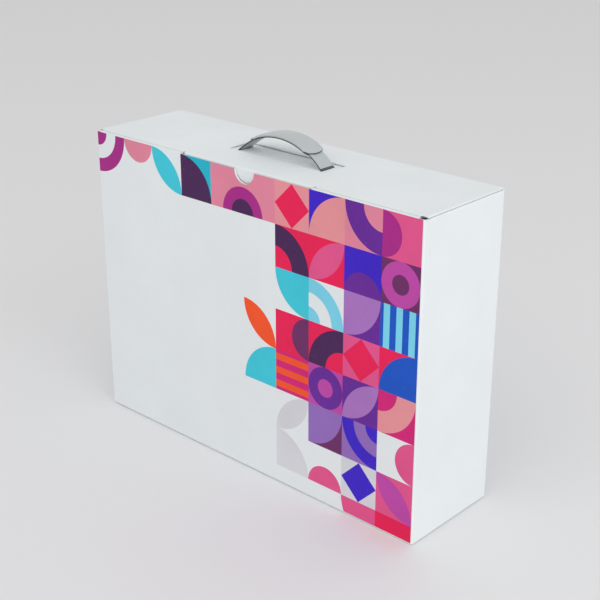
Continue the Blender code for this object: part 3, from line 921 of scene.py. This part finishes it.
def build_outer_bottom(label, turn):
    """Half of the bottom, with the tab that slips over the other half."""
    middle = (TAB_WIDTH + TAB_SPACING) / 2
    left, right = middle - TAB_WIDTH / 2, middle + TAB_WIDTH / 2
    seam, edge = -GAP / 2, INNER_LENGTH - GAP
    rises = spread(-TAB_BEND, -TAB_CREST, BEND_STEPS)
    root = (TAB_TAPER * TAB_ROOT_SHARE, seam + (TAB_REACH - seam) * TAB_ROOT_SHARE)
    corners = [(-edge, -INNER_DEPTH, PLAIN), (edge, -INNER_DEPTH, RAW),
               (edge - FLAP_SIDE_TAPER, seam, FLAP_CORNER, RAW),
               (right + TAB_SLIT, seam, PLAIN), (right + TAB_SLIT, -TAB_BEND, PLAIN),
               *[(right, y, PLAIN) for y in rises],
               (right, seam, PLAIN), (right - root[0], root[1], RAW),
               (right - TAB_TAPER, TAB_REACH, TAB_CORNER, RAW),
               (left + TAB_TAPER, TAB_REACH, TAB_CORNER, RAW),
               (left + root[0], root[1], PLAIN), (left, seam, PLAIN),
               *[(left, y, PLAIN) for y in reversed(rises)],
               (left - TAB_SLIT, -TAB_BEND, PLAIN), (left - TAB_SLIT, seam, RAW),
               (FLAP_SIDE_TAPER - edge, seam, FLAP_CORNER, RAW)]

    def warp(point):
        if left - TAB_SLIT / 2 < point.x < right + TAB_SLIT / 2 and point.y > -TAB_BEND:
            return point - Vector((0, 0, tab_lift(point.y)))
        return point

    lines = [[(left, y), (right, y)] for y in rises]
    shells = board([rounded(corners)], turn @ axes(-X, Y, -Z, (0, 0, 0)), 0, warp, lines)
    make_piece("bottom_board_" + label, shells, BOARD_X, "carton", "bottom_flap_" + label)


def build_inner_bottom(label, side):
    place = axes(-side * X, side * Y, -Z, (side * INNER_LENGTH, 0, SECOND_LAYER))
    root, length = INNER_DEPTH - 2 * GAP, INNER_FLAP_LENGTH + GAP
    tip = root - INNER_FLAP_TAPER
    corners = [(0, -root, RAW), (length, -tip, INNER_FLAP_CORNER, RAW),
               (length, tip, INNER_FLAP_CORNER, RAW), (0, root, PLAIN)]
    shells = board([rounded(corners)], place, 1)
    make_piece("bottom_board_" + label, shells, BOARD_Y, "carton", "bottom_flap_" + label)


def lid_outline():
    edge, front = lid_high[0], lid_low[1]
    rear = INNER_DEPTH - LID_CREASE_LID
    fold = TONGUE_FOLD.y + TONGUE_CREASE_LID
    slit_end = front + RELIEF_DEPTH
    inset, end = edge - LID_CORNER_LENGTH, edge - LID_CORNER_WALL
    rear_end, step = edge - LID_REAR_STEP, HALF_DEPTH - LID_REAR_STEP_LENGTH
    back = front + LID_CORNER_DEPTH
    corners = [(-edge, back, CLOSED), (-end, back, HOLLOW), (-inset, back, HOLLOW), (-inset, front, RAW)]
    for side in (-1, 1):
        lock_end = LOCK_CENTRE + side * LOCK_WIDTH / 2
        outside = lock_end + side * RELIEF_WIDTH / 2
        inside = lock_end - side * RELIEF_WIDTH / 2
        slit = [(outside, front), (outside, slit_end), (inside, slit_end), (inside, fold)]
        corners += [(x, y, PLAIN) for x, y in slit[::-side]]
    corners[-1] = (*corners[-1][:2], RAW)
    return corners + [
        (inset, front, HOLLOW), (inset, back, HOLLOW), (end, back, CLOSED), (edge, back, CLOSED),
        (edge, step, CLOSED), (rear_end, step, CLOSED), (rear_end, rear, PLAIN),
        (-rear_end, rear, CLOSED), (-rear_end, step, CLOSED), (-edge, step, CLOSED)]


def build_lid():
    window = rectangle(WINDOW_LENGTH / 2, WINDOW_WIDTH / 2, WINDOW_CORNER, PINCHED, HANDLE_CENTRE)
    shells = board([lid_outline(), window], Matrix.Translation((0, 0, BOX_HEIGHT)), 0)
    make_piece("lid_board", shells, BOARD_X, "lid", "lid_panel")
    half = lid_high[0] - LID_REAR_STEP
    corner = (-half, INNER_DEPTH, LID_UNDERSIDE)
    shell = crease(Y, Z, corner, 2 * half, (LID_CREASE_WALL, LID_CREASE_LID))
    piece = make_piece("lid_crease", [shell], BOARD_X)
    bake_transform(piece)


def bowed(point):
    """The tongue leaves its crease straight down and bows inwards towards its tip."""
    down = -point.y
    return point + Vector((0, 0, down * math.tan(TONGUE_LEAN) * (1 - down / TONGUE_LENGTH)))


def build_tongue():
    start = WALL_TOP - LID_UNDERSIDE + TONGUE_CREASE_TONGUE
    root, tip = TONGUE_HALF_WIDTH, TONGUE_HALF_WIDTH - TONGUE_TAPER
    slope = TONGUE_TAPER / (TONGUE_LENGTH - start)
    sides = [(root - (down - start) * slope, -down) for down in TONGUE_BENDS]
    corners = [(-root, -start, RAW), *[(-x, y, RAW) for x, y in sides],
               (-tip, -TONGUE_LENGTH, TONGUE_CORNER, RAW), (tip, -TONGUE_LENGTH, TONGUE_CORNER, RAW),
               *[(x, y, RAW) for x, y in reversed(sides)], (root, -start, PLAIN)]
    inner = tip - TONGUE_CORNER
    lines = [[(BEND_LINE_SETBACK - x, y), (x - BEND_LINE_SETBACK, y)] for x, y in sides]
    lines += [[(-inner, -down), (inner, -down)] for down in TONGUE_LOW_BENDS]
    turn = Matrix.Rotation(math.pi / 2 + TONGUE_LEAN, 4, "X")
    place = Matrix.Translation((LOCK_CENTRE, lid_low[1], WALL_TOP)) @ turn
    shells = board([rounded(corners)], place, 0, bowed, lines)
    make_piece("tongue_board", shells, BOARD_X, "tongue", "tuck_flap")
    leads = (TONGUE_CREASE_LID, TONGUE_CREASE_TONGUE)
    shell = crease(Z, -Y, (LOCK_CENTRE - root, *TONGUE_FOLD.yz), 2 * root, leads)
    piece = make_piece("tongue_crease", [shell], BOARD_X)
    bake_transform(piece)


def build_dust_flap(label, side):
    """A dust flap and the crease that joins it to its end wall."""
    body = "dust_flap_" + label[0]
    near, far = (flap_low[1], flap_high[1])[::side]
    root, tip = side * (INNER_LENGTH - DUST_CREASE), side * flap_low[0]
    taper = side * DUST_TAPER
    corners = [(tip, near + taper, DUST_CORNER, RAW), (root, near, PLAIN),
               (root, far, RAW), (tip, far - taper, DUST_CORNER, RAW)]
    shells = board([rounded(corners)], Matrix.Translation((0, 0, WALL_TOP)), 1)
    make_piece("dust_board_" + label, shells, BOARD_Y, body, "dust_flap_" + label)
    corner = (side * INNER_LENGTH, far, FLAP_UNDERSIDE)
    shell = crease(side * X, Z, corner, abs(far - near), (DUST_CREASE, DUST_CREASE))
    piece = make_piece("dust_crease_" + label, [shell], BOARD_Y)
    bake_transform(piece)


def lean(level):
    """How far the handle leans to one side at a level."""
    return ARCH_LEAN * (level - UPRIGHT_LEVEL)


def foot_reach(radius):
    """How far along x a surface of the strap enters the handle board."""
    return math.sqrt(radius ** 2 - (WALL_TOP - ARCH_CENTRE) ** 2)


SLOT_NEAR, SLOT_FAR = foot_reach(ARCH_RADIUS), foot_reach(ARCH_RADIUS + STRAP_THICKNESS)


def build_handle_board():
    loops = [rectangle(HANDLE_BOARD_LENGTH / 2, HANDLE_BOARD_WIDTH / 2, HANDLE_BOARD_CORNER, RAW)]
    half_x, half_y = (SLOT_FAR - SLOT_NEAR) / 2 + SLOT_PLAY_LENGTH, STRAP_WIDTH / 2 + SLOT_PLAY_WIDTH
    for side in (-1, 1):
        middle = side * (SLOT_FAR + SLOT_NEAR) / 2 + lean(WALL_TOP)
        loops.append(rectangle(half_x, half_y, WINDOW_CORNER, RAW, middle))
    shells = board(loops, Matrix.Translation((HANDLE_CENTRE, 0, WALL_TOP)), 0)
    make_piece("brace_board", shells, BOARD_X, "lid", "handle_board")


# The handle.


def strap_section(inset):
    """The strap's rounded section: (y, height over its underside)."""
    half = STRAP_WIDTH / 2 - inset - STRAP_EDGE
    low, high = inset + STRAP_EDGE, STRAP_THICKNESS - inset - STRAP_EDGE
    points = []
    for corner, centre in enumerate([(half, low), (half, high), (-half, high), (-half, low)]):
        start = math.pi / 2 * (corner - 1)
        points += arc(centre, STRAP_EDGE, start, start + math.pi / 2, STRAP_EDGE_STEPS)
    return points


def on_arch(angle, y, height):
    """A place on the strap by its angle from the top, y, and height over the underside.

    Inside the handle board the strap goes straight down.
    """
    radius = ARCH_RADIUS + height
    x, z = radius * math.sin(angle), ARCH_CENTRE + radius * math.cos(angle)
    if z < WALL_TOP:
        x = math.copysign(foot_reach(radius), angle)
    return Vector((HANDLE_CENTRE + x + lean(max(z, WALL_TOP)), y, z))


def angle_at(level):
    """The arch's angle where the middle of the strap crosses a level."""
    return math.acos((level - ARCH_CENTRE) / (ARCH_RADIUS + STRAP_THICKNESS / 2))


def strap_sweep(angles, inset, painted_shade_from):
    """A stretch of the strap, with painted shade on its sides, lower rims and ends, which take the dark
    second material.
    """
    section = strap_section(inset)
    shell = swept([[on_arch(angle, y, height) for y, height in section] for angle in angles])
    steps = STRAP_EDGE_STEPS
    # These faces of each ring, and every stretch past the shade angle, are painted shade.
    dark = [*range(steps + 1), *range(3 * steps + 2, 4 * steps + 3)]
    for face in range(2, len(shell.slots)):
        step, side = divmod(face - 2, len(section))
        if side in dark or abs(angles[step] + angles[step + 1]) / 2 > painted_shade_from:
            shell.slots[face] = 1
    return shell


def build_strap():
    # The strap's feet are painted with shade below this level, for the slots they go into.
    reach, painted_shade_from = angle_at(ARCH_FOOT), angle_at(FOOT_PAINTED_SHADE_TOP)
    foot = spread(painted_shade_from, reach, FOOT_STEPS)[1:]
    angles = [-angle for angle in reversed(foot)] + spread(-painted_shade_from, painted_shade_from, ARCH_STEPS) + foot
    shell = strap_sweep(angles, 0, painted_shade_from)
    piece = make_piece("strap_arch", [shell], HANDLE, "lid", "handle_strap")
    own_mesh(piece)
    high, low = angle_at(LEG_TOP), angle_at(HOOK_TOP - STRAP_THICKNESS / 2)
    shells = []
    for side in (-1, 1):
        leg = strap_sweep(spread(side * high, side * low, LEG_STEPS), LEG_INSET, 0)
        shells += [leg, hook_plate(side)]
    make_piece("strap_feet", shells, HANDLE, "lid", None)


def hook_plate(side):
    """The flat foot that holds a strap's end under the handle board."""
    near, far = SLOT_NEAR - HOOK_INNER_REACH, SLOT_FAR + HOOK_OUTER_REACH
    middle = HANDLE_CENTRE + lean(WALL_TOP) + side * (near + far) / 2
    half_x, half_y = (far - near) / 2, STRAP_WIDTH / 2 + HOOK_SIDE_REACH
    edge = STRAP_EDGE
    rings = []
    for base, start in ((HOOK_TOP - STRAP_THICKNESS + edge, -math.pi / 2), (HOOK_TOP - edge, 0)):
        for angle in spread(start, start + math.pi / 2, STRAP_EDGE_STEPS):
            inset = edge * (1 - math.cos(angle))
            outline = rectangle(half_x - inset, half_y - inset, HOOK_CORNER - inset, PLAIN)
            level = base + edge * math.sin(angle)
            rings.append([Vector((middle + x, y, level)) for x, y, kind in outline])
    return swept(rings)


def grip_end(y):
    """How far from the middle the grip's bulging end lies at a y."""
    half = GRIP_WIDTH / 2
    radius = (half ** 2 + GRIP_BULGE ** 2) / (2 * GRIP_BULGE)
    end = GRIP_LENGTH / 2 - radius + math.sqrt(radius ** 2 - y ** 2)
    into_corner = max(0, abs(y) - half + GRIP_CORNER)
    return end - GRIP_CORNER + math.sqrt(GRIP_CORNER ** 2 - into_corner ** 2)


def rim_drop(distance):
    """How far a rounded edge has dropped at a distance inside the outline."""
    if distance >= GRIP_EDGE:
        return 0
    return GRIP_EDGE - math.sqrt(GRIP_EDGE ** 2 - (GRIP_EDGE - distance) ** 2)


def pad_drop(from_end):
    """How far the surface lies below the grip's raised middle near an end."""
    inner, outer = GRIP_END_INSETS[-2], GRIP_END_INSETS[-3]
    return GRIP_PAD_STEP * min(max((inner - from_end) / (inner - outer), 0), 1)


def grip_columns():
    """Places across the grip, closer together along its rounded sides."""
    half = GRIP_WIDTH / 2
    channel = STRAP_WIDTH / 2 + GAP
    positive = [half - GRIP_EDGE * share for share in GRIP_EDGE_SHARES]
    positive += [half - GRIP_CORNER * share for share in GRIP_CORNER_SHARES]
    positive.append(channel + GRIP_CHANNEL_WALL)
    positive += [channel * (1 - index / GRIP_COLUMNS) for index in range(GRIP_COLUMNS)]
    return [-y for y in positive] + [0] + positive[::-1]


def grip_rows():
    """Places along the grip as (share, inset from the end)."""
    near = [GRIP_EDGE * share for share in GRIP_EDGE_SHARES]
    near += GRIP_END_INSETS
    middle = [(2 * index / GRIP_ROWS - 1, GRIP_END_REACH) for index in range(1, GRIP_ROWS)]
    return [(-1, inset) for inset in near] + middle + [(1, inset) for inset in reversed(near)]


def grip_grid():
    """Rows of places on the grip, each as (upper, lower)."""
    half = GRIP_WIDTH / 2
    grid = []
    for share, inset in grip_rows():
        row = []
        for y in grip_columns():
            x = share * (grip_end(y) - inset)
            from_end = grip_end(y) - abs(x)
            crown = GRIP_CROWN * (y / half) ** 2
            slope = GRIP_END_SLOPE * max(0, 1 - from_end / GRIP_END_REACH) ** 1.5
            height = GRIP_TOP - crown - slope - pad_drop(from_end)
            height -= max(rim_drop(half - abs(y)), rim_drop(from_end))
            angle = math.asin(x / (ARCH_RADIUS + GRIP_SEAT))
            under = LIP_LEVEL if abs(y) > STRAP_WIDTH / 2 + GAP else GRIP_SEAT
            row.append((on_arch(angle, y, height), on_arch(angle, y, min(under, height))))
        grid.append(row)
    return grid


def build_grip():
    """A crowned cover over the strap, with sloped ends and lips beside the strap; painted shade darkens the
    lower band of its sides, its ends and the rows next to them.
    """
    grid = grip_grid()
    # band is the share of each lip side, from its lower edge, that gets painted shade.
    band = GRIP_PAINTED_SHADE_BAND / (GRIP_TOP - GRIP_CROWN - GRIP_EDGE - LIP_LEVEL)
    shell = Shell()
    for index, (row, after) in enumerate(zip(grid, grid[1:])):
        slot = 1 if min(index, len(grid) - 2 - index) < GRIP_PAINTED_SHADE_ROWS else 0
        for corners in zip(row, after, after[1:], row[1:]):
            for face in zip(*corners):
                shell.face(face, slot)
        for (high_1, low_1), (high_2, low_2) in ((row[0], after[0]), (row[-1], after[-1])):
            middle_1, middle_2 = low_1.lerp(high_1, band), low_2.lerp(high_2, band)
            shell.face([high_1, high_2, middle_2, middle_1])
            shell.face([middle_1, middle_2, low_2, low_1], 1)
    for row in (grid[0], grid[-1]):
        for column, ((high_1, low_1), (high_2, low_2)) in enumerate(zip(row, row[1:])):
            corners = [high_1, high_2, low_2, low_1]
            if column == len(row) - 2:
                corners.insert(2, low_2.lerp(high_2, band))
            if column == 0:
                corners.append(low_1.lerp(high_1, band))
            shell.face(corners, 1)
    piece = make_piece("grip_cover", [shell], HANDLE, "grip", "handle_grip")
    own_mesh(piece)


# Stage, light and camera.


def build_stage():
    bpy.ops.mesh.primitive_plane_add(size=FLOOR_SIZE, location=(0, 0, FLOOR_LEVEL))
    floor = bpy.context.object
    floor.name = "floor"
    paint, tree = new_material("floor_paint")
    looks = {"Base Color": FLOOR_COLOUR, "Roughness": FLOOR_ROUGHNESS}
    set_inputs(tree, tree.nodes["Principled BSDF"], looks)
    floor.data.materials.append(paint)


def add_to_scene(name, data, place, aim):
    made = bpy.data.objects.new(name, data)
    bpy.context.scene.collection.objects.link(made)
    made.location = place
    made.rotation_euler = aim.to_track_quat("-Z", "Y").to_euler()
    return made


def build_lamps():
    for name, (place, power) in LAMPS.items():
        data = bpy.data.lights.new(name, "AREA")
        data.size = LAMP_SIZE
        data.energy = power
        lamp = add_to_scene(name, data, place, LAMP_TARGET - Vector(place))
        lamp.visible_camera = False


def build_world():
    """Even light all round, and white where the camera sees it, straight or mirrored."""
    world = bpy.data.worlds.new("studio")
    bpy.context.scene.world = world
    world.use_nodes = True
    tree = world.node_tree
    tree.nodes.clear()
    rays = tree.nodes.new("ShaderNodeLightPath")
    seen = rays.outputs["Is Camera Ray"]
    for name in ("Is Glossy Ray", "Is Transmission Ray"):
        seen = add_node(tree, "Math", {0: seen, 1: rays.outputs[name]}, operation="MAXIMUM")
    level = add_node(tree, "MapRange", {"Value": seen, "To Min": SKY_STRENGTH, "To Max": 1.0})
    sky = add_node(tree, "Background", {"Color": (1, 1, 1, 1), "Strength": level})
    tree.links.new(sky, tree.nodes.new("ShaderNodeOutputWorld").inputs["Surface"])


def build_camera():
    data = bpy.data.cameras.new("camera")
    data.lens = CAMERA_LENS
    bpy.context.scene.camera = add_to_scene("camera", data, CAMERA_PLACE, Vector(CAMERA_AIM))


build_front()
build_back()
build_right()
build_left()
build_glue_flap()
build_outer_bottom("front", NO_TURN)
build_outer_bottom("back", Matrix.Rotation(math.pi, 4, "Z"))
build_inner_bottom("left", -1)
build_inner_bottom("right", 1)
build_lid()
build_tongue()
build_dust_flap("left", -1)
build_dust_flap("right", 1)
build_handle_board()
build_strap()
build_grip()
build_stage()
build_lamps()
build_world()
build_camera()
bpy.context.scene.view_settings.view_transform = "Standard"
